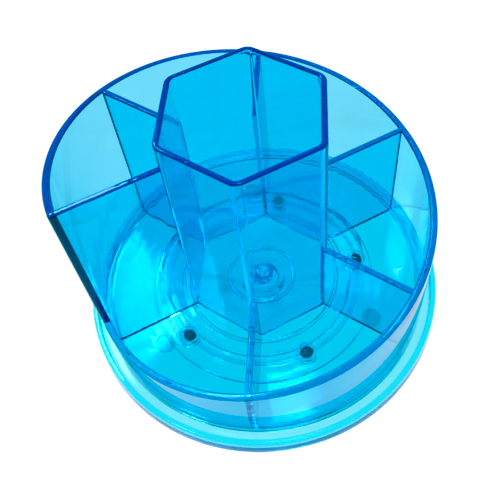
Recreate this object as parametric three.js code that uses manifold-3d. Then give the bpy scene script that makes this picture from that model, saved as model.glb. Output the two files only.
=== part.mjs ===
// A desk organizer that turns on its base: a round tray with a spiral rim, a hexagonal pencil cup in the
// middle and six dividers, carried by five steel balls in a cage between the tray floor and the base.
// Millimetres, +Z up. The origin is on the spin axis, at the plane that the organizer stands on.
// The spiral rim drops at -X, and falls clockwise from there, seen from above.

import * as THREE from 'three';
import { mergeVertices } from 'three/addons/utils/BufferGeometryUtils.js';
import Module from 'manifold-3d';

const wasm = await Module();
wasm.setup();

const degree = Math.PI / 180;
const turnSegments = 72;
const smallTurnSegments = 32;
const clearance = 0.3;

// Base: a round plate with an upstanding rim, two guide rails and a hollow boss for the pivot pin.
const baseRadius = 75.4;
const rimThickness = 2.4;
const rimTop = 7.6;
const rimDraft = 0.5;
const rimChamfer = 0.5;
const plateBottom = 0.6;
const plateTop = 2.2;
const railThickness = 1.2;
const railTop = 4.4;
const innerRailRadius = 37.5;
const outerRailRadius = 49.4;

// Ball race: the same sloping groove in the base plate and in the underside of the tray floor.
const ballCount = 5;
const ballRadius = 3;
const raceRadius = 42;
const raceHalfWidth = 2.1;
const raceMouthHalfWidth = 3.8;
const raceDepth = 0.8;
const firstBallAngle = -20 * degree;
const ballHeight = plateTop - raceDepth + clearance + ballRadius;

// Ball cage: a thin hoop that links five pocket sleeves.
const pocketRadius = ballRadius + clearance;
const sleeveRadius = 4.2;
const sleeveBottom = plateTop + 0.4;
const sleeveTop = 6.9;
const hoopWidth = 2.3;
const hoopBottom = 4.1;
const hoopTop = 5.3;

// Tray: floor, spiral outer wall, pencil cup and dividers.
const trayRadius = 69.5;
const wallThickness = 2.8;
const wallBottom = 5.8;
const spiralHigh = 98.4;
const spiralLow = 26.5;
const wallColumns = 120;
const floorBottom = 7.3;
const floorTop = 8.8;
const cupRingRadius = 33.7;
const hubRingRadius = 14;
const underRibThickness = 1.2;
const underRibBottom = 5.6;
const cupTop = 109;
const cupCornerRadius = 32.2;
const cupRounding = 4.5;
const cupWall = 2.2;
const dividerCount = 6;
const dividerThickness = 2.5;

// Pivot: a snap pin with a domed head, whose four barbed legs spread under a shelf in the boss.
const bossRadius = 9.1;
const bossTop = 7;
const recessRadius = 6.4;
const shelfBottom = 5;
const shankRadius = 2.7;
const pivotHoleRadius = shankRadius + clearance;
const headRadius = 4.2;
const headHeight = 1.5;
const headEdgeHeight = 0.5;
const headCrownRadius = 3;
const headCrownHeight = 1.2;
const barbRadius = 3.9;
const barbLength = 1.6;
const legBottom = 1.2;
const legTipRadius = 2.1;
const legSlot = 1;
const legSlotTop = 6.4;

// Feet: three soft discs, let into the underside of the base plate.
const footCount = 3;
const footRadius = 4;
const footCircle = 51;
const footTop = 1;
const footEdge = 0.3;
const firstFootAngle = -51 * degree;

const trayPlastic = new THREE.MeshStandardMaterial({
  color: 0x1ea4e8, roughness: 0.06, metalness: 0, transparent: true, opacity: 0.4,
});
const basePlastic = new THREE.MeshStandardMaterial({
  color: 0x4cc6ee, roughness: 0.06, metalness: 0, transparent: true, opacity: 0.35,
});
const ballSteel = new THREE.MeshStandardMaterial({ color: 0x9aa0a3, roughness: 0.12, metalness: 1 });
const footVinyl = new THREE.MeshStandardMaterial({
  color: 0xcfe8ee, roughness: 0.45, metalness: 0, transparent: true, opacity: 0.6,
});

const organizer = new THREE.Group();

function addPiece(name, geometry, material, parent = organizer) {
  const piece = new THREE.Mesh(geometry, material);
  piece.name = name;
  parent.add(piece);
  return piece;
}

// A solid of revolution about Z from a closed outline of [radius, height] points.
function turned(outline, segments = turnSegments) {
  const closed = [...outline, outline[0]];
  const points = closed.map(([radius, height]) => new THREE.Vector2(radius, height));
  return new THREE.LatheGeometry(points, segments).rotateX(Math.PI / 2);
}

// A solid of revolution whose outline starts and ends on the axis.
function turnedFull(outline, segments = turnSegments) {
  const points = outline.map(([radius, height]) => new THREE.Vector2(radius, height));
  return new THREE.LatheGeometry(points, segments).rotateX(Math.PI / 2);
}

function tube(innerRadius, outerRadius, bottom, top, segments = turnSegments) {
  return turned([[innerRadius, bottom], [outerRadius, bottom], [outerRadius, top], [innerRadius, top]], segments);
}

function rod(radius, bottom, top, segments = turnSegments) {
  return turnedFull([[0, bottom], [radius, bottom], [radius, top], [0, top]], segments);
}

function toSolid(geometry) {
  const bare = geometry.clone();
  bare.deleteAttribute('normal');
  bare.deleteAttribute('uv');
  const merged = mergeVertices(bare);
  return new wasm.Manifold(new wasm.Mesh({
    numProp: 3,
    vertProperties: new Float32Array(merged.attributes.position.array),
    triVerts: new Uint32Array(merged.index.array),
  }));
}

function toGeometry(solid) {
  const mesh = solid.getMesh();
  const geometry = new THREE.BufferGeometry();
  geometry.setAttribute('position', new THREE.BufferAttribute(mesh.vertProperties, 3));
  geometry.setIndex(new THREE.BufferAttribute(mesh.triVerts, 1));
  return geometry;
}

function aroundCircle(count, firstAngle, place) {
  for (let index = 0; index < count; index += 1) {
    place(firstAngle + (index * 2 * Math.PI) / count, index + 1);
  }
}

function baseGeometry() {
  const rimInner = baseRadius - rimDraft - rimThickness;
  const outline = [
    [recessRadius, plateBottom],
    [baseRadius, plateBottom],
    [baseRadius - rimDraft, rimTop - rimChamfer],
    [baseRadius - rimDraft - rimChamfer, rimTop],
    [rimInner, rimTop],
    [rimInner, plateTop],
    [outerRailRadius, plateTop],
    [outerRailRadius, railTop],
    [outerRailRadius - railThickness, railTop],
    [outerRailRadius - railThickness, plateTop],
    [raceRadius + raceMouthHalfWidth, plateTop],
    [raceRadius + raceHalfWidth, plateTop - raceDepth],
    [raceRadius - raceHalfWidth, plateTop - raceDepth],
    [raceRadius - raceMouthHalfWidth, plateTop],
    [innerRailRadius, plateTop],
    [innerRailRadius, railTop],
    [innerRailRadius - railThickness, railTop],
    [innerRailRadius - railThickness, plateTop],
    [bossRadius, plateTop],
    [bossRadius, bossTop],
    [pivotHoleRadius, bossTop],
    [pivotHoleRadius, shelfBottom],
    [recessRadius, shelfBottom],
  ];
  let solid = toSolid(turned(outline));
  aroundCircle(footCount, firstFootAngle, (angle) => {
    const pocket = rod(footRadius + clearance, plateBottom - 1, footTop + clearance, smallTurnSegments);
    pocket.translate(footCircle * Math.cos(angle), footCircle * Math.sin(angle), 0);
    solid = solid.subtract(toSolid(pocket));
  });
  return toGeometry(solid);
}

function cageGeometry() {
  let solid = toSolid(tube(raceRadius - hoopWidth / 2, raceRadius + hoopWidth / 2, hoopBottom, hoopTop));
  aroundCircle(ballCount, firstBallAngle, (angle) => {
    const x = raceRadius * Math.cos(angle);
    const y = raceRadius * Math.sin(angle);
    const sleeve = rod(sleeveRadius, sleeveBottom, sleeveTop, smallTurnSegments).translate(x, y, 0);
    const pocket = rod(pocketRadius, sleeveBottom - 1, sleeveTop + 1, smallTurnSegments).translate(x, y, 0);
    solid = solid.add(toSolid(sleeve)).subtract(toSolid(pocket));
  });
  return toGeometry(solid);
}

function pinGeometry() {
  const headBottom = floorTop + clearance;
  const barbTop = shelfBottom - clearance;
  const body = turnedFull([
    [0, legBottom],
    [legTipRadius, legBottom],
    [barbRadius, barbTop - barbLength / 2],
    [barbRadius, barbTop],
    [shankRadius, barbTop],
    [shankRadius, headBottom],
    [headRadius, headBottom],
    [headRadius, headBottom + headEdgeHeight],
    [headCrownRadius, headBottom + headCrownHeight],
    [0, headBottom + headHeight],
  ], smallTurnSegments);
  const slotHeight = legSlotTop - legBottom + 1;
  const slot = new THREE.BoxGeometry(4 * barbRadius, legSlot, slotHeight);
  slot.translate(0, 0, legSlotTop - slotHeight / 2);
  const crossSlot = slot.clone().rotateZ(Math.PI / 2);
  return toGeometry(toSolid(body).subtract(toSolid(slot)).subtract(toSolid(crossSlot)));
}

function floorGeometry() {
  const floorRadius = trayRadius - wallThickness - clearance;
  return turned([
    [pivotHoleRadius, floorBottom],
    [hubRingRadius - underRibThickness, floorBottom],
    [hubRingRadius - underRibThickness, underRibBottom],
    [hubRingRadius, underRibBottom],
    [hubRingRadius, floorBottom],
    [cupRingRadius - underRibThickness, floorBottom],
    [cupRingRadius - underRibThickness, underRibBottom],
    [cupRingRadius, underRibBottom],
    [cupRingRadius, floorBottom],
    [raceRadius - raceMouthHalfWidth, floorBottom],
    [raceRadius - raceHalfWidth, floorBottom + raceDepth],
    [raceRadius + raceHalfWidth, floorBottom + raceDepth],
    [raceRadius + raceMouthHalfWidth, floorBottom],
    [floorRadius, floorBottom],
    [floorRadius, floorTop],
    [pivotHoleRadius, floorTop],
  ]);
}

function spiralHeight(turn) {
  return spiralHigh - (spiralHigh - spiralLow) * Math.min(turn, 1);
}

// A stretch of the spiral wall: a box of unit columns, bent round the spin axis. Its first column stands
// on the far face of the divider at the drop.
function wallStretch(firstColumn, lastColumn) {
  const columns = lastColumn - firstColumn;
  const dropAngle = Math.PI + dividerThickness / 2 / trayRadius;
  const geometry = new THREE.BoxGeometry(columns, 1, 1, columns, 1, 1);
  const position = geometry.attributes.position;
  for (let index = 0; index < position.count; index += 1) {
    const column = firstColumn + Math.round(position.getX(index) + columns / 2);
    const turn = column / wallColumns;
    const angle = dropAngle - 2 * Math.PI * (turn % 1);
    const radius = position.getZ(index) > 0 ? trayRadius - wallThickness : trayRadius;
    const height = position.getY(index) > 0 ? spiralHeight(turn) : wallBottom;
    position.setXYZ(index, radius * Math.cos(angle), radius * Math.sin(angle), height);
  }
  return geometry;
}

// The wall runs once round the tray, and a short second stretch closes the seam at its low end.
function wallGeometry() {
  const round = toSolid(wallStretch(0, wallColumns - 1));
  const seam = toSolid(wallStretch(wallColumns - 2, wallColumns + 1));
  return toGeometry(round.add(seam));
}

function roundedHexagon(path, cornerRadius, rounding) {
  const centreRadius = cornerRadius - rounding / Math.cos(Math.PI / 6);
  aroundCircle(6, 0, (angle) => {
    const x = centreRadius * Math.cos(angle);
    const y = centreRadius * Math.sin(angle);
    path.absarc(x, y, rounding, angle - Math.PI / 6, angle + Math.PI / 6, false);
  });
  return path;
}

function cupGeometry() {
  const outline = roundedHexagon(new THREE.Shape(), cupCornerRadius, cupRounding);
  const innerCornerRadius = cupCornerRadius - cupWall / Math.cos(Math.PI / 6);
  outline.holes.push(roundedHexagon(new THREE.Path(), innerCornerRadius, cupRounding - cupWall));
  const bottom = floorTop + clearance;
  const geometry = new THREE.ExtrudeGeometry(outline, {
    depth: cupTop - bottom, bevelEnabled: false, curveSegments: 6,
  });
  return geometry.translate(0, 0, bottom);
}

function addDividers(parent) {
  const cupEdge = cupCornerRadius - cupRounding * (1 / Math.cos(Math.PI / 6) - 1);
  const innerEnd = cupEdge + clearance;
  const outerEnd = trayRadius - wallThickness - clearance;
  const bottom = floorTop + clearance;
  for (let index = 0; index < dividerCount; index += 1) {
    const turn = index / dividerCount;
    const height = spiralHeight(turn) - bottom;
    const geometry = new THREE.BoxGeometry(outerEnd - innerEnd, dividerThickness, height);
    geometry.translate((innerEnd + outerEnd) / 2, 0, bottom + height / 2);
    const divider = addPiece(`divider_${index + 1}`, geometry, trayPlastic, parent);
    divider.rotation.z = Math.PI - 2 * Math.PI * turn;
  }
}

function addBalls(parent) {
  aroundCircle(ballCount, firstBallAngle, (angle, number) => {
    const geometry = new THREE.SphereGeometry(ballRadius, 20, 12);
    const ball = addPiece(`ball_${number}`, geometry, ballSteel, parent);
    ball.position.set(raceRadius * Math.cos(angle), raceRadius * Math.sin(angle), ballHeight);
  });
}

function addFeet(parent) {
  aroundCircle(footCount, firstFootAngle, (angle, number) => {
    const geometry = turnedFull([
      [0, 0],
      [footRadius - footEdge, 0],
      [footRadius, footEdge],
      [footRadius, footTop],
      [0, footTop],
    ], smallTurnSegments);
    const foot = addPiece(`foot_${number}`, geometry, footVinyl, parent);
    foot.position.set(footCircle * Math.cos(angle), footCircle * Math.sin(angle), 0);
  });
}

const stand = new THREE.Group();
addPiece('base', baseGeometry(), basePlastic, stand);
addPiece('pivot_pin', pinGeometry(), trayPlastic, stand);
addFeet(stand);
organizer.add(stand);

const bearing = new THREE.Group();
addPiece('ball_cage', cageGeometry(), basePlastic, bearing);
addBalls(bearing);
organizer.add(bearing);

const tray = new THREE.Group();
addPiece('tray_floor', floorGeometry(), trayPlastic, tray);
addPiece('outer_wall', wallGeometry(), trayPlastic, tray);
addPiece('pencil_cup', cupGeometry(), trayPlastic, tray);
addDividers(tray);
organizer.add(tray);

export default organizer;
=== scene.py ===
import math

import bmesh
import bpy
from mathutils import Matrix, Vector


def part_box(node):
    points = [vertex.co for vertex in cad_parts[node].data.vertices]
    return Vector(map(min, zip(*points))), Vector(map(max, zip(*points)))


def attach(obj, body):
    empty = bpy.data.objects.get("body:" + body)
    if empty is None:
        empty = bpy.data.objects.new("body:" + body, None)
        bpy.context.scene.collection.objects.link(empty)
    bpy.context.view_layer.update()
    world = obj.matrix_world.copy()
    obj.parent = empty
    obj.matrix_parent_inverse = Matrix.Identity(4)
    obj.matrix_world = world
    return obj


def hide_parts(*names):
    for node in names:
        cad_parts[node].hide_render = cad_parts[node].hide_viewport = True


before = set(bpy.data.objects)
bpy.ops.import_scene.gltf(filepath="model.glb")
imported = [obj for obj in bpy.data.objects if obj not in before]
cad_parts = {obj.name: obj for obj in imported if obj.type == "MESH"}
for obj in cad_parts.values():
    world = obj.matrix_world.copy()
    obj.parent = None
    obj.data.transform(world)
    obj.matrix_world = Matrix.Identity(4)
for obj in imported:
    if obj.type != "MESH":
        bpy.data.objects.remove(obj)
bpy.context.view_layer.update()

mm = 0.001
creaseAngle = 32  # degrees, a sharper bend than this stays a crease
scene = bpy.context.scene


def linear(hexColour):
    value = hexColour.lstrip("#")
    channels = [int(value[i:i + 2], 16) / 255 for i in (0, 2, 4)]
    return tuple(c / 12.92 if c <= 0.04045 else ((c + 0.055) / 1.055) ** 2.4 for c in channels) + (1.0,)


def addNode(tree, kind, settings=None, links=None):
    node = tree.nodes.new(kind)
    for key, value in (settings or {}).items():
        if key in node.inputs:
            node.inputs[key].default_value = value
        else:
            setattr(node, key, value)
    for key, source in (links or {}).items():
        tree.links.new(source, node.inputs[key])
    return node


# Turns a finished bmesh into an object: seams merged, faces outwards, smooth between its creases.
def finishObject(name, bm, smoothAngle=creaseAngle):
    bmesh.ops.remove_doubles(bm, verts=bm.verts, dist=0.002 * mm)
    bmesh.ops.recalc_face_normals(bm, faces=bm.faces)
    mesh = bpy.data.meshes.new(name)
    bm.to_mesh(mesh)
    bm.free()
    mesh.shade_smooth()
    mesh.set_sharp_from_angle(angle=math.radians(smoothAngle))
    piece = bpy.data.objects.new(name, mesh)
    scene.collection.objects.link(piece)
    return piece


# A closed outline of (radius, height, rounding) corners, as one flat face in the XZ plane.
def outlineFace(bm, outline, segments=5):
    verts = [bm.verts.new((radius * mm, 0, height * mm)) for radius, height, _ in outline]
    bm.faces.new(verts)
    for rounding in sorted({corner[2] for corner in outline if corner[2] > 0}):
        corners = [vert for vert, corner in zip(verts, outline) if corner[2] == rounding]
        bmesh.ops.bevel(bm, geom=corners, affect="VERTICES", offset=rounding * mm, offset_type="OFFSET",
                        segments=segments, profile=0.5, material=-1)


# Spins the outline's edges about the upright axis. A part turn gets its two ends closed.
def spinOutline(outline, angle=2 * math.pi, steps=256, startAngle=0.0, segments=5):
    bm = bmesh.new()
    outlineFace(bm, outline, segments)
    fullTurn = abs(angle) > 2 * math.pi - 1e-6
    bmesh.ops.delete(bm, geom=bm.faces[:], context="FACES_ONLY")
    bmesh.ops.rotate(bm, verts=bm.verts, matrix=Matrix.Rotation(startAngle, 3, "Z"))
    if fullTurn:
        bmesh.ops.spin(bm, geom=bm.verts[:] + bm.edges[:], cent=(0, 0, 0), axis=(0, 0, 1), angle=angle,
                       steps=steps, use_merge=True, use_duplicate=False)
        return bm
    edges = bm.edges[:]
    spun = bmesh.ops.spin(bm, geom=bm.verts[:] + edges, cent=(0, 0, 0), axis=(0, 0, 1), angle=angle,
                          steps=steps, use_merge=False, use_duplicate=False)
    lastEdges = [part for part in spun["geom_last"] if isinstance(part, bmesh.types.BMEdge)]
    bmesh.ops.contextual_create(bm, geom=edges)
    bmesh.ops.contextual_create(bm, geom=lastEdges)
    return bm


# Joins the tools to a piece, or cuts them out of it, and keeps only the result.
def carve(piece, tools, operation):
    for tool in tools:
        cut = piece.modifiers.new("cut", "BOOLEAN")
        cut.solver = "MANIFOLD"
        cut.operation = operation
        cut.object = tool
    bpy.context.view_layer.update()
    shaped = piece.evaluated_get(bpy.context.evaluated_depsgraph_get())
    mesh = bpy.data.meshes.new_from_object(shaped)
    piece.modifiers.clear()
    mesh.materials.clear()
    piece.data = mesh
    for tool in tools:
        bpy.data.objects.remove(tool)


# Clear plastic shows every bent normal, so the large flat faces set the shading of their edges.
def evenShading(piece):
    bm = bmesh.new()
    bm.from_mesh(piece.data)
    openEdges = sum(1 for edge in bm.edges if not edge.is_manifold)
    bm.free()
    piece.data.shade_smooth()
    piece.data.set_sharp_from_angle(angle=math.radians(creaseAngle))
    even = piece.modifiers.new("even_shading", "WEIGHTED_NORMAL")
    even.mode = "FACE_AREA"
    even.weight = 100
    even.keep_sharp = True
    print(f"  {piece.name}: {len(piece.data.polygons)} faces, {openEdges} open edges")


camera = {
    "location": (-57.097, -146.654, 267.549),
    "target": (13.308, 18.63, 45.0),
    "roll": -5.784,
    "lens": 51.259,
    "shiftX": -0.05,
    "shiftY": -0.13,
}


def makeCamera():
    data = bpy.data.cameras.new("camera")
    data.lens = camera["lens"]
    data.sensor_width = 36
    data.shift_x = camera["shiftX"]
    data.shift_y = camera["shiftY"]
    data.clip_start = 0.01
    data.clip_end = 20
    holder = bpy.data.objects.new("camera", data)
    location = Vector(camera["location"]) * mm
    direction = Vector(camera["target"]) * mm - location
    aim = direction.to_track_quat("-Z", "Y").to_matrix().to_4x4()
    roll = Matrix.Rotation(math.radians(camera["roll"]), 4, "Z")
    holder.matrix_world = Matrix.Translation(location) @ aim @ roll
    scene.collection.objects.link(holder)
    scene.camera = holder


makeCamera()
print("camera placed")


# The table is white opal acrylic lit from below, so a clear piece glows and throws no shadow.
# The room gives a dim soft light, and behind the table it looks as white as the table does.
studio = {
    "roomColour": "#dfeefb",
    "roomStrength": 0.42,
    "tableColour": "#3c3c3c",
    "tableRoughness": 0.9,
    "tableGlow": 1.0,
    "tableHalf": 3,  # metres from its middle to its edge
    "softboxes": [  # sizes and places in mm, power in watts
        {"name": "softbox_back", "size": (180, 200), "place": (-100, 345, 500), "power": 1.7},
        {"name": "softbox_left", "size": (90, 90), "place": (-330, -60, 520), "power": 0.45},
        {"name": "softbox_top", "size": (60, 160), "place": (60, 120, 620), "power": 0.35},
    ],
    "redBlackLevel": 0.11,  # deep blue plastic shows no red at all
    "bounces": 80,  # light crosses many walls of the organizer
}


def addSoftbox(name, place, size, power, target=(0, 0, 20)):
    data = bpy.data.lights.new(name, "AREA")
    data.shape = "RECTANGLE"
    data.size, data.size_y = size[0] * mm, size[1] * mm
    data.energy = power
    lamp = bpy.data.objects.new(name, data)
    lamp.location = Vector(place) * mm
    lamp.rotation_euler = (Vector(target) * mm - lamp.location).to_track_quat("-Z", "Y").to_euler()
    scene.collection.objects.link(lamp)


def makeStage():
    world = bpy.data.worlds.new("studio")
    scene.world = world
    world.use_nodes = True
    tree = world.node_tree
    tree.nodes.clear()
    room = addNode(tree, "ShaderNodeBackground",
                   {"Color": linear(studio["roomColour"]), "Strength": studio["roomStrength"]})
    backdrop = addNode(tree, "ShaderNodeBackground",
                       {"Color": linear("#ffffff"), "Strength": studio["tableGlow"]})
    seen = addNode(tree, "ShaderNodeLightPath").outputs["Is Camera Ray"]
    either = addNode(tree, "ShaderNodeMixShader",
                     links={0: seen, 1: room.outputs[0], 2: backdrop.outputs[0]})
    addNode(tree, "ShaderNodeOutputWorld", links={"Surface": either.outputs[0]})
    bm = bmesh.new()
    bmesh.ops.create_grid(bm, x_segments=1, y_segments=1, size=studio["tableHalf"])
    table = finishObject("light_table", bm)
    opal = bpy.data.materials.new("backlit_opal_acrylic")
    opal.use_nodes = True
    shader = opal.node_tree.nodes["Principled BSDF"]
    shader.inputs["Base Color"].default_value = linear(studio["tableColour"])
    shader.inputs["Roughness"].default_value = studio["tableRoughness"]
    shader.inputs["Specular IOR Level"].default_value = 0.0
    shader.inputs["Emission Color"].default_value = linear("#ffffff")
    shader.inputs["Emission Strength"].default_value = studio["tableGlow"]
    table.data.materials.append(opal)
    for box in studio["softboxes"]:
        addSoftbox(**box)
    view = scene.view_settings
    view.view_transform = "Standard"
    view.use_curve_mapping = True
    view.curve_mapping.black_level = (studio["redBlackLevel"], 0.0, 0.0)
    view.curve_mapping.update()
    scene.cycles.max_bounces = studio["bounces"]
    scene.cycles.transmission_bounces = studio["bounces"]
    scene.cycles.glossy_bounces = studio["bounces"]
    scene.cycles.diffuse_bounces = 3
    scene.cycles.transparent_max_bounces = 16


makeStage()
print("stage and lights placed")


# The share of red, green and blue lost in each millimetre, as a volume's density and colour.
def absorption(perMillimetre):
    density = max(perMillimetre) * 1000
    colour = tuple(1 - value * 1000 / density for value in perMillimetre) + (1.0,)
    return density, colour


# Crystal polystyrene, injection moulded and tinted in the mass: clear, glossy and hard. It is darkest
# where the eye looks along it, in the rims. Slow waves in the wall and rings about the gate bend
# what is seen through it, and fine rubbing and dust soften its gloss in patches.
polystyrene = {
    "ior": 1.5,
    "reflection": "#8ee4ff",
    "waveLength": 14,       # mm, slow unevenness of a cooled wall
    "waveDepth": 0.030,     # mm
    "ringLength": 4.5,      # mm, flow rings about the gate
    "ringDepth": 0.018,     # mm
    "grainLength": 0.9,     # mm, faint orange peel
    "grainDepth": 0.0006,   # mm
    "rubLength": 7,         # mm, patches of handling marks
    "smoothest": 0.015,
    "roughest": 0.085,
}


colourA, colourB, colourMixed = 6, 7, 2  # the sockets of a Mix node that mixes colours
ringScale = 0.314  # 2 pi over the 20 by which a Wave node multiplies its scale


def noiseAt(tree, place, lengthInMm, detail=2.0, distortion=0.0):
    return addNode(tree, "ShaderNodeTexNoise",
                   {"Scale": 1 / (lengthInMm * mm), "Detail": detail, "Distortion": distortion},
                   {"Vector": place}).outputs["Fac"]


def tintedPolystyrene(name, tint, perMillimetre):
    material = bpy.data.materials.new(name)
    material.use_nodes = True
    tree = material.node_tree
    tree.nodes.clear()
    place = addNode(tree, "ShaderNodeTexCoord").outputs["Object"]
    wave = noiseAt(tree, place, polystyrene["waveLength"], 1.0)
    rings = addNode(tree, "ShaderNodeTexWave",
                    {"wave_type": "RINGS", "rings_direction": "Z", "Distortion": 2.2, "Detail": 1.5,
                     "Detail Scale": 1.2, "Scale": ringScale / (polystyrene["ringLength"] * mm)},
                    {"Vector": place}).outputs["Fac"]
    grain = noiseAt(tree, place, polystyrene["grainLength"])
    normal = None
    for height, depth in ((wave, "waveDepth"), (rings, "ringDepth"), (grain, "grainDepth")):
        bump = addNode(tree, "ShaderNodeBump", {"Strength": 1.0, "Distance": polystyrene[depth] * mm},
                       {"Height": height})
        if normal:
            tree.links.new(normal, bump.inputs["Normal"])
        normal = bump.outputs["Normal"]
    rubbed = noiseAt(tree, place, polystyrene["rubLength"], 5.0, 0.6)
    gloss = addNode(tree, "ShaderNodeMapRange",
                    {"From Min": 0.45, "From Max": 0.8, "To Min": polystyrene["smoothest"],
                     "To Max": polystyrene["roughest"]}, {"Value": rubbed}).outputs["Result"]
    tone = addNode(tree, "ShaderNodeMix", {"data_type": "RGBA"})
    for socket, value in zip((colourA, colourB), tint):
        tone.inputs[socket].default_value = linear(value)
    tree.links.new(wave, tone.inputs[0])
    shader = addNode(tree, "ShaderNodeBsdfPrincipled", {
        "IOR": polystyrene["ior"], "Transmission Weight": 1.0,
        "Specular Tint": linear(polystyrene["reflection"]),
    }, {"Base Color": tone.outputs[colourMixed], "Roughness": gloss, "Normal": normal})
    density, colour = absorption(perMillimetre)
    inside = addNode(tree, "ShaderNodeVolumeAbsorption", {"Color": colour, "Density": density})
    addNode(tree, "ShaderNodeOutputMaterial",
            links={"Surface": shader.outputs["BSDF"], "Volume": inside.outputs["Volume"]})
    return material


blueStyrene = tintedPolystyrene("crystal_polystyrene_blue", ("#a8e1fa", "#b2e6fc"),
                                (0.16, 0.022, 0.006))
paleStyrene = tintedPolystyrene("crystal_polystyrene_pale_blue", ("#94ebfc", "#a0effe"),
                                (0.14, 0.014, 0.002))


# Chrome steel bearing balls, lapped and lightly oiled: a dark mirror with small hard highlights,
# and faint tracks where they have rolled.
bearingSteel = {
    "colour": "#979a96",
    "oiled": "#7e8079",
    "trackLength": 1.1,  # mm
    "roughness": (0.04, 0.14),
}


def lappedSteel():
    material = bpy.data.materials.new("lapped_bearing_steel")
    material.use_nodes = True
    tree = material.node_tree
    shader = tree.nodes["Principled BSDF"]
    place = addNode(tree, "ShaderNodeTexCoord").outputs["Object"]
    film = noiseAt(tree, place, bearingSteel["trackLength"], 4.0, 0.8)
    tone = addNode(tree, "ShaderNodeMix", {"data_type": "RGBA"})
    tone.inputs[colourA].default_value = linear(bearingSteel["colour"])
    tone.inputs[colourB].default_value = linear(bearingSteel["oiled"])
    tree.links.new(film, tone.inputs[0])
    tree.links.new(tone.outputs[colourMixed], shader.inputs["Base Color"])
    low, high = bearingSteel["roughness"]
    polish = addNode(tree, "ShaderNodeMapRange",
                     {"From Min": 0.35, "From Max": 0.75, "To Min": low, "To Max": high}, {"Value": film})
    tree.links.new(polish.outputs["Result"], shader.inputs["Roughness"])
    shader.inputs["Metallic"].default_value = 1.0
    return material


# Soft clear vinyl, die cut from sheet: a milky, slightly dull pad with a fine calendered grain.
padVinyl = {
    "colour": "#d9edf2",
    "dull": "#c2dde6",
    "dustLength": 2.5,    # mm
    "grainLength": 0.35,  # mm
    "grainDepth": 0.012,  # mm
    "ior": 1.53,
    "clearness": 0.85,
    "roughness": (0.28, 0.5),
}


def calenderedVinyl():
    material = bpy.data.materials.new("soft_clear_vinyl")
    material.use_nodes = True
    tree = material.node_tree
    shader = tree.nodes["Principled BSDF"]
    place = addNode(tree, "ShaderNodeTexCoord").outputs["Object"]
    grain = noiseAt(tree, place, padVinyl["grainLength"], 3.0)
    dust = noiseAt(tree, place, padVinyl["dustLength"], 4.0)
    tone = addNode(tree, "ShaderNodeMix", {"data_type": "RGBA"})
    tone.inputs[colourA].default_value = linear(padVinyl["colour"])
    tone.inputs[colourB].default_value = linear(padVinyl["dull"])
    tree.links.new(dust, tone.inputs[0])
    tree.links.new(tone.outputs[colourMixed], shader.inputs["Base Color"])
    bump = addNode(tree, "ShaderNodeBump", {"Strength": 1.0, "Distance": padVinyl["grainDepth"] * mm},
                   {"Height": grain})
    tree.links.new(bump.outputs["Normal"], shader.inputs["Normal"])
    low, high = padVinyl["roughness"]
    haze = addNode(tree, "ShaderNodeMapRange", {"To Min": low, "To Max": high}, {"Value": dust})
    tree.links.new(haze.outputs["Result"], shader.inputs["Roughness"])
    shader.inputs["Transmission Weight"].default_value = padVinyl["clearness"]
    shader.inputs["IOR"].default_value = padVinyl["ior"]
    return material


steel = lappedSteel()
vinyl = calenderedVinyl()
print("materials made")


# Millimetres from the spin axis and from the desk. The rim falls from high to low in one turn.
tray = {
    "radius": 69.5,
    "wall": 2.8,
    "foot": 5.8,
    "high": 98.4,
    "low": 26.5,
    "columns": 360,
    "rimRounding": 1.0,
    "edgeRounding": 0.85,
    "postRounding": 0.8,
    "floorBottom": 7.3,
    "floorTop": 8.8,
    "floorFillet": 1.6,
    "overlap": 0.8,         # how far the cup and dividers reach into the floor
    "dividers": 6,
    "dividerThickness": 2.5,
    "dividerStart": 30.2,
    "dividerDip": 0.15,     # how far a divider stays below the rim
    "cupTop": 109.0,
    "cupCorner": 32.2,
    "cupRounding": 4.5,
    "cupWall": 2.2,
    "spindleHole": 3.0,
    "ribs": ((12.8, 14.0), (32.5, 33.7)),
    "ribBottom": 5.6,
    "raceRadius": 42.0,
    "raceHalf": 2.1,
    "raceMouthHalf": 3.8,
    "raceDepth": 0.8,
}


def spiralHeight(turn):
    return tray["high"] - (tray["high"] - tray["low"]) * turn


# A stretch of the outer wall: spun level, then its upper edge is let down along the spiral.
def wallStretch(name, firstColumn, lastColumn):
    outer, inner = tray["radius"], tray["radius"] - tray["wall"]
    rounding, fillet = tray["rimRounding"], tray["floorFillet"]
    floorTop, floorBottom = tray["floorTop"], tray["floorBottom"]
    shallow, deep = 0.12 * fillet, 0.5 * fillet  # the middle points of the fillet at the floor
    outline = [
        (inner, tray["foot"], 0.3), (outer, tray["foot"], 0.5),
        (outer, tray["high"], rounding), (inner, tray["high"], rounding),
        (inner, floorTop + fillet, 0), (inner - shallow, floorTop + deep, 0),
        (inner - deep, floorTop + shallow, 0), (inner - fillet, floorTop, 0),
        (inner - fillet, floorBottom, 0), (inner, floorBottom, 0),
    ]
    columns = tray["columns"]
    dropAngle = math.pi
    start = dropAngle - 2 * math.pi * firstColumn / columns
    sweep = -2 * math.pi * (lastColumn - firstColumn) / columns
    bm = spinOutline(outline, sweep, lastColumn - firstColumn, start)
    middle = (tray["floorTop"] + tray["low"]) / 2 * mm
    for vert in bm.verts:
        if vert.co.z > middle:
            column = ((dropAngle - math.atan2(vert.co.y, vert.co.x)) / (2 * math.pi) * columns) % columns
            if column < firstColumn - 1:
                column = columns
            if firstColumn == 0 and column > columns - 1:
                column = 0
            vert.co.z += (spiralHeight(column / columns) - tray["high"]) * mm
    return finishObject(name, bm)


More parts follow.
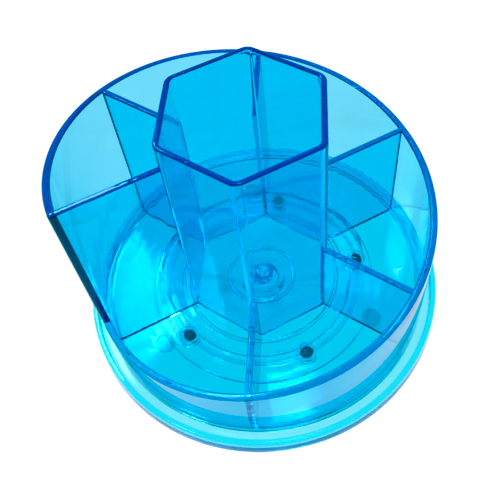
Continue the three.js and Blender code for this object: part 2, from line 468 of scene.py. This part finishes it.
# The rounded upright edge where the high end of the wall drops to the low end. It is a hair thinner
# than the wall, so that it ends just inside the wall's faces.
def dropPost():
    bottom, top = tray["low"] - 3, tray["high"]
    size = Vector((tray["wall"] / 2 - 0.02, tray["dividerThickness"] / 2, top - bottom)) * mm
    place = Vector((tray["wall"] / 2 - tray["radius"], 0, (top + bottom) / 2)) * mm
    bm = bmesh.new()
    bmesh.ops.create_cone(bm, cap_ends=True, segments=48, radius1=1, radius2=1, depth=1)
    bmesh.ops.scale(bm, verts=bm.verts, vec=size)
    bmesh.ops.translate(bm, verts=bm.verts, vec=place)
    rim = [edge for edge in bm.edges if all(vert.co.z > (top - 1) * mm for vert in edge.verts)]
    bmesh.ops.bevel(bm, geom=rim, affect="EDGES", offset=tray["postRounding"] * mm, offset_type="OFFSET",
                    segments=4, profile=0.5, material=-1)
    return finishObject("drop_post", bm)


# The hexagonal pencil cup: a rounded outline, inset to its wall, drawn up and rounded at the rim.
def cupTube():
    bm = bmesh.new()
    bmesh.ops.create_circle(bm, cap_ends=True, segments=6, radius=tray["cupCorner"] * mm)
    bmesh.ops.rotate(bm, verts=bm.verts, matrix=Matrix.Rotation(math.pi / 6, 3, "Z"))
    corner = max(bm.verts, key=lambda vert: vert.co.x)
    turnBack = -math.atan2(corner.co.y, corner.co.x)
    bmesh.ops.rotate(bm, verts=bm.verts, matrix=Matrix.Rotation(turnBack, 3, "Z"))
    cornerCut = tray["cupRounding"] * math.tan(math.pi / 6)
    bmesh.ops.bevel(bm, geom=bm.verts[:], affect="VERTICES", offset=cornerCut * mm, offset_type="OFFSET",
                    segments=8, profile=0.5, material=-1)
    bmesh.ops.inset_region(bm, faces=bm.faces[:], thickness=tray["cupWall"] * mm, use_boundary=True,
                           use_even_offset=True)
    inner = min(bm.faces, key=lambda face: face.calc_center_median().length)
    bmesh.ops.delete(bm, geom=[inner], context="FACES_ONLY")
    bottom = tray["floorTop"] - tray["overlap"]
    bmesh.ops.translate(bm, verts=bm.verts, vec=(0, 0, bottom * mm))
    ring = bmesh.ops.extrude_face_region(bm, geom=bm.faces[:], use_keep_orig=True)
    top = [part for part in ring["geom"] if isinstance(part, bmesh.types.BMVert)]
    bmesh.ops.translate(bm, verts=top, vec=(0, 0, (tray["cupTop"] - bottom) * mm))
    bmesh.ops.recalc_face_normals(bm, faces=bm.faces)
    rim = [edge for edge in bm.edges if all(vert in top for vert in edge.verts)
           and len({round(face.normal.z) for face in edge.link_faces}) == 2]
    bmesh.ops.bevel(bm, geom=rim, affect="EDGES", offset=tray["edgeRounding"] * mm, offset_type="OFFSET",
                    segments=5, profile=0.5, material=-1)
    return finishObject("cup_tube", bm)


# A divider stands from the cup to the middle of the outer wall, as high as the rim there.
def dividerPlate(index):
    turn = index / tray["dividers"]
    inner, outer = tray["dividerStart"], tray["radius"] - tray["wall"] / 2
    bottom, top = tray["floorTop"] - tray["overlap"], spiralHeight(turn) - tray["dividerDip"]
    size = Vector((outer - inner, tray["dividerThickness"], top - bottom)) * mm
    bm = bmesh.new()
    bmesh.ops.create_cube(bm, size=1)
    bmesh.ops.scale(bm, verts=bm.verts, vec=size)
    bmesh.ops.translate(bm, verts=bm.verts, vec=((outer + inner) / 2 * mm, 0, (top + bottom) / 2 * mm))
    ridge = [edge for edge in bm.edges if all(vert.co.z > (top - 1) * mm for vert in edge.verts)
             and abs(edge.verts[0].co.y - edge.verts[1].co.y) < 0.1 * mm]
    bmesh.ops.bevel(bm, geom=ridge, affect="EDGES", offset=tray["edgeRounding"] * mm, offset_type="OFFSET",
                    segments=5, profile=0.5, material=-1)
    bmesh.ops.rotate(bm, verts=bm.verts, matrix=Matrix.Rotation(math.pi - 2 * math.pi * turn, 3, "Z"))
    return finishObject(f"divider_plate_{index + 1}", bm)


# The floor, with two round ribs below it and the upper race of the balls.
def floorDisc():
    low, high, ribBottom = tray["floorBottom"], tray["floorTop"], tray["ribBottom"]
    race, depth = tray["raceRadius"], tray["raceDepth"]
    half, mouth = tray["raceHalf"], tray["raceMouthHalf"]
    edge = tray["radius"] - 1.2  # inside the outer wall
    outline = [(tray["spindleHole"], low, 0.2)]
    for inner, outer in tray["ribs"]:
        outline += [
            (inner, low, 0.35), (inner, ribBottom, 0.45),
            (outer, ribBottom, 0.45), (outer, low, 0.35),
        ]
    outline += [
        (race - mouth, low, 0.7), (race - half, low + depth, 0.7),
        (race + half, low + depth, 0.7), (race + mouth, low, 0.7),
        (edge, low, 0), (edge, high, 0), (tray["spindleHole"], high, 0.3),
    ]
    return finishObject("floor_disc", spinOutline(outline, steps=240))


def makeTray():
    columns = tray["columns"]
    moulding = wallStretch("tray_moulding", 0, columns - 4)
    seam = wallStretch("wall_seam", columns - 8, columns + 1)
    dividers = [dividerPlate(index) for index in range(tray["dividers"])]
    carve(moulding, [seam, dropPost(), floorDisc(), cupTube()] + dividers, "UNION")
    evenShading(moulding)
    moulding.data.materials.append(blueStyrene)
    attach(moulding, "tray")
    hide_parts("tray_floor", "outer_wall", "pencil_cup", *[f"divider_{n}" for n in range(1, 7)])


makeTray()
print("tray made")


# The base: a drafted rim, a plate with two rails and the lower race, and a boss for the pin.
base = {
    "radius": 75.4,
    "draft": 0.5,
    "rimThickness": 2.4,
    "rimTop": 7.6,
    "plateBottom": 0.6,
    "plateTop": 2.2,
    "railTop": 4.4,
    "rails": (37.5, 49.4),
    "railThickness": 1.2,
    "bossRadius": 9.1,
    "bossTop": 7.0,
    "recessRadius": 6.4,
    "shelfBottom": 5.0,
    "pinHole": 3.0,
    "footPocket": 4.3,
    "pocketHeights": (-0.7, 1.3),
}


def makeBase():
    low, high, rail = base["plateBottom"], base["plateTop"], base["railTop"]
    radius, rimTop, drafted = base["radius"], base["rimTop"], base["radius"] - base["draft"]
    rimInner = drafted - base["rimThickness"]
    race, depth = tray["raceRadius"], tray["raceDepth"]
    half, mouth = tray["raceHalf"], tray["raceMouthHalf"]
    innerRail, outerRail = base["rails"]
    thickness = base["railThickness"]
    outline = [
        (base["recessRadius"], low, 0.2), (radius, low, 0.6), (drafted, rimTop, 1.0),
        (rimInner, rimTop, 0.8), (rimInner, high, 1.2),
        (outerRail, high, 0.4), (outerRail, rail, 0.5),
        (outerRail - thickness, rail, 0.5), (outerRail - thickness, high, 0.4),
        (race + mouth, high, 0.7), (race + half, high - depth, 0.7),
        (race - half, high - depth, 0.7), (race - mouth, high, 0.1),
        (innerRail, high, 0.1), (innerRail, rail, 0.5),
        (innerRail - thickness, rail, 0.5), (innerRail - thickness, high, 0.4),
        (base["bossRadius"], high, 0.8), (base["bossRadius"], base["bossTop"], 0.6),
        (base["pinHole"], base["bossTop"], 0.2), (base["pinHole"], base["shelfBottom"], 0.1),
        (base["recessRadius"], base["shelfBottom"], 0.3),
    ]
    moulding = finishObject("base_moulding", spinOutline(outline, steps=256))
    pocketBottom, pocketTop = base["pocketHeights"]
    pockets = [plug("pocket", base["footPocket"], pocketBottom, pocketTop, footCentre(number))
               for number in range(1, 4)]
    carve(moulding, pockets, "DIFFERENCE")
    evenShading(moulding)
    moulding.data.materials.append(paleStyrene)
    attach(moulding, "base")
    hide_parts("base")


# The middle of a CAD node, which places what is built round it.
def nodeCentre(name):
    low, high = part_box(name)
    return (low + high) / 2


def footCentre(number):
    return nodeCentre(f"foot_{number}")


# A round plug, upright over the centre, in millimetres, to join to a moulding or to cut from it.
def plug(name, radius, low, high, centre, segments=64):
    bm = bmesh.new()
    bmesh.ops.create_cone(bm, cap_ends=True, segments=segments, radius1=radius * mm, radius2=radius * mm,
                          depth=(high - low) * mm)
    bmesh.ops.translate(bm, verts=bm.verts, vec=(centre.x, centre.y, (low + high) / 2 * mm))
    return finishObject(name, bm)


makeBase()
print("base made")


# The cage is a thin hoop with a sleeve round each ball, and the balls roll in the two races.
bearing = {
    "raceRadius": 42.0,
    "hoopWidth": 2.3,
    "hoopLow": 4.1,
    "hoopHigh": 5.3,
    "hoopRounding": 0.4,
    "sleeveLow": 2.6,
    "sleeveHigh": 6.9,
    "sleeveRadius": 4.2,
    "pocketRadius": 3.3,
    "balls": 5,
}


def makeBearing():
    half = bearing["hoopWidth"] / 2
    middle, rounding = bearing["raceRadius"], bearing["hoopRounding"]
    hoopLow, hoopHigh = bearing["hoopLow"], bearing["hoopHigh"]
    sleeveLow, sleeveHigh = bearing["sleeveLow"], bearing["sleeveHigh"]
    outline = [
        (middle - half, hoopLow, rounding), (middle + half, hoopLow, rounding),
        (middle + half, hoopHigh, rounding), (middle - half, hoopHigh, rounding),
    ]
    cage = finishObject("cage_moulding", spinOutline(outline, steps=180, segments=3))
    sleeves, holes = [], []
    for number in range(1, bearing["balls"] + 1):
        lowCorner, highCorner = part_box(f"ball_{number}")
        centre = (lowCorner + highCorner) / 2
        sleeves.append(plug("sleeve", bearing["sleeveRadius"], sleeveLow, sleeveHigh, centre))
        holes.append(plug("hole", bearing["pocketRadius"], sleeveLow - 1, sleeveHigh + 1, centre))
        bm = bmesh.new()
        bmesh.ops.create_icosphere(bm, subdivisions=5, radius=(highCorner.z - lowCorner.z) / 2)
        bmesh.ops.translate(bm, verts=bm.verts, vec=centre)
        ball = finishObject(f"steel_ball_{number}", bm, 60)
        ball.data.materials.append(steel)
        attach(ball, f"ball_{number}")
        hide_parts(f"ball_{number}")
    carve(cage, sleeves, "UNION")
    carve(cage, holes, "DIFFERENCE")
    evenShading(cage)
    cage.data.materials.append(paleStyrene)
    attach(cage, "cage")
    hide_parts("ball_cage")


makeBearing()
print("bearing made")


# The snap pin: a low domed head with a dimple, a shank and four barbed legs parted by two slots.
pin = {
    "headRadius": 4.2,
    "headBottom": 9.1,
    "headEdge": 0.5,
    "headTop": 10.6,
    "shoulderRadius": 3.0,
    "shoulderDrop": 0.3,
    "dimpleRadius": 1.0,
    "dimpleDepth": 0.5,
    "shankRadius": 2.7,
    "barbRadius": 3.9,
    "barbTop": 4.7,
    "barbMiddle": 3.9,
    "legBottom": 1.2,
    "legTip": 2.1,
    "slot": 1.0,
    "slotTop": 6.4,
}


def makePin():
    headBottom, headTop = pin["headBottom"], pin["headTop"]
    dimpleBottom = headTop - pin["dimpleDepth"]
    outline = [
        (0, pin["legBottom"], 0), (pin["legTip"], pin["legBottom"], 0.3),
        (pin["barbRadius"], pin["barbMiddle"], 0.3), (pin["barbRadius"], pin["barbTop"], 0.15),
        (pin["shankRadius"], pin["barbTop"], 0.15), (pin["shankRadius"], headBottom, 0.1),
        (pin["headRadius"], headBottom, 0.15), (pin["headRadius"], headBottom + pin["headEdge"], 0.35),
        (pin["shoulderRadius"], headTop - pin["shoulderDrop"], 0.5),
        (pin["dimpleRadius"] + 0.5, headTop, 0.3), (pin["dimpleRadius"], dimpleBottom, 0.2),
        (0, dimpleBottom, 0),
    ]
    body = finishObject("snap_pin", spinOutline(outline, steps=64))
    slots = []
    for turn in (0, math.pi / 2):
        bm = bmesh.new()
        bmesh.ops.create_cube(bm, size=1)
        height = pin["slotTop"] - pin["legBottom"] + 1
        bmesh.ops.scale(bm, verts=bm.verts, vec=(16 * mm, pin["slot"] * mm, height * mm))
        bmesh.ops.translate(bm, verts=bm.verts, vec=(0, 0, (pin["slotTop"] - height / 2) * mm))
        bmesh.ops.rotate(bm, verts=bm.verts, matrix=Matrix.Rotation(turn, 3, "Z"))
        slots.append(finishObject("slot", bm))
    carve(body, slots, "DIFFERENCE")
    evenShading(body)
    body.data.materials.append(blueStyrene)
    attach(body, "base")
    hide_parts("pivot_pin")


# The feet: thin soft pads with a rolled edge, pressed up into their pockets.
foot = {"radius": 4.0, "top": 1.0, "edge": 0.35, "topEdge": 0.15}


def makeFeet():
    for number in range(1, 4):
        centre = footCentre(number)
        outline = [
            (0, 0, 0), (foot["radius"], 0, foot["edge"]),
            (foot["radius"], foot["top"], foot["topEdge"]), (0, foot["top"], 0),
        ]
        bm = spinOutline(outline, steps=64)
        bmesh.ops.translate(bm, verts=bm.verts, vec=(centre.x, centre.y, 0))
        pad = finishObject(f"foot_pad_{number}", bm)
        pad.data.materials.append(vinyl)
        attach(pad, "base")
        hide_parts(f"foot_{number}")


makePin()
makeFeet()
print("pin and feet made")
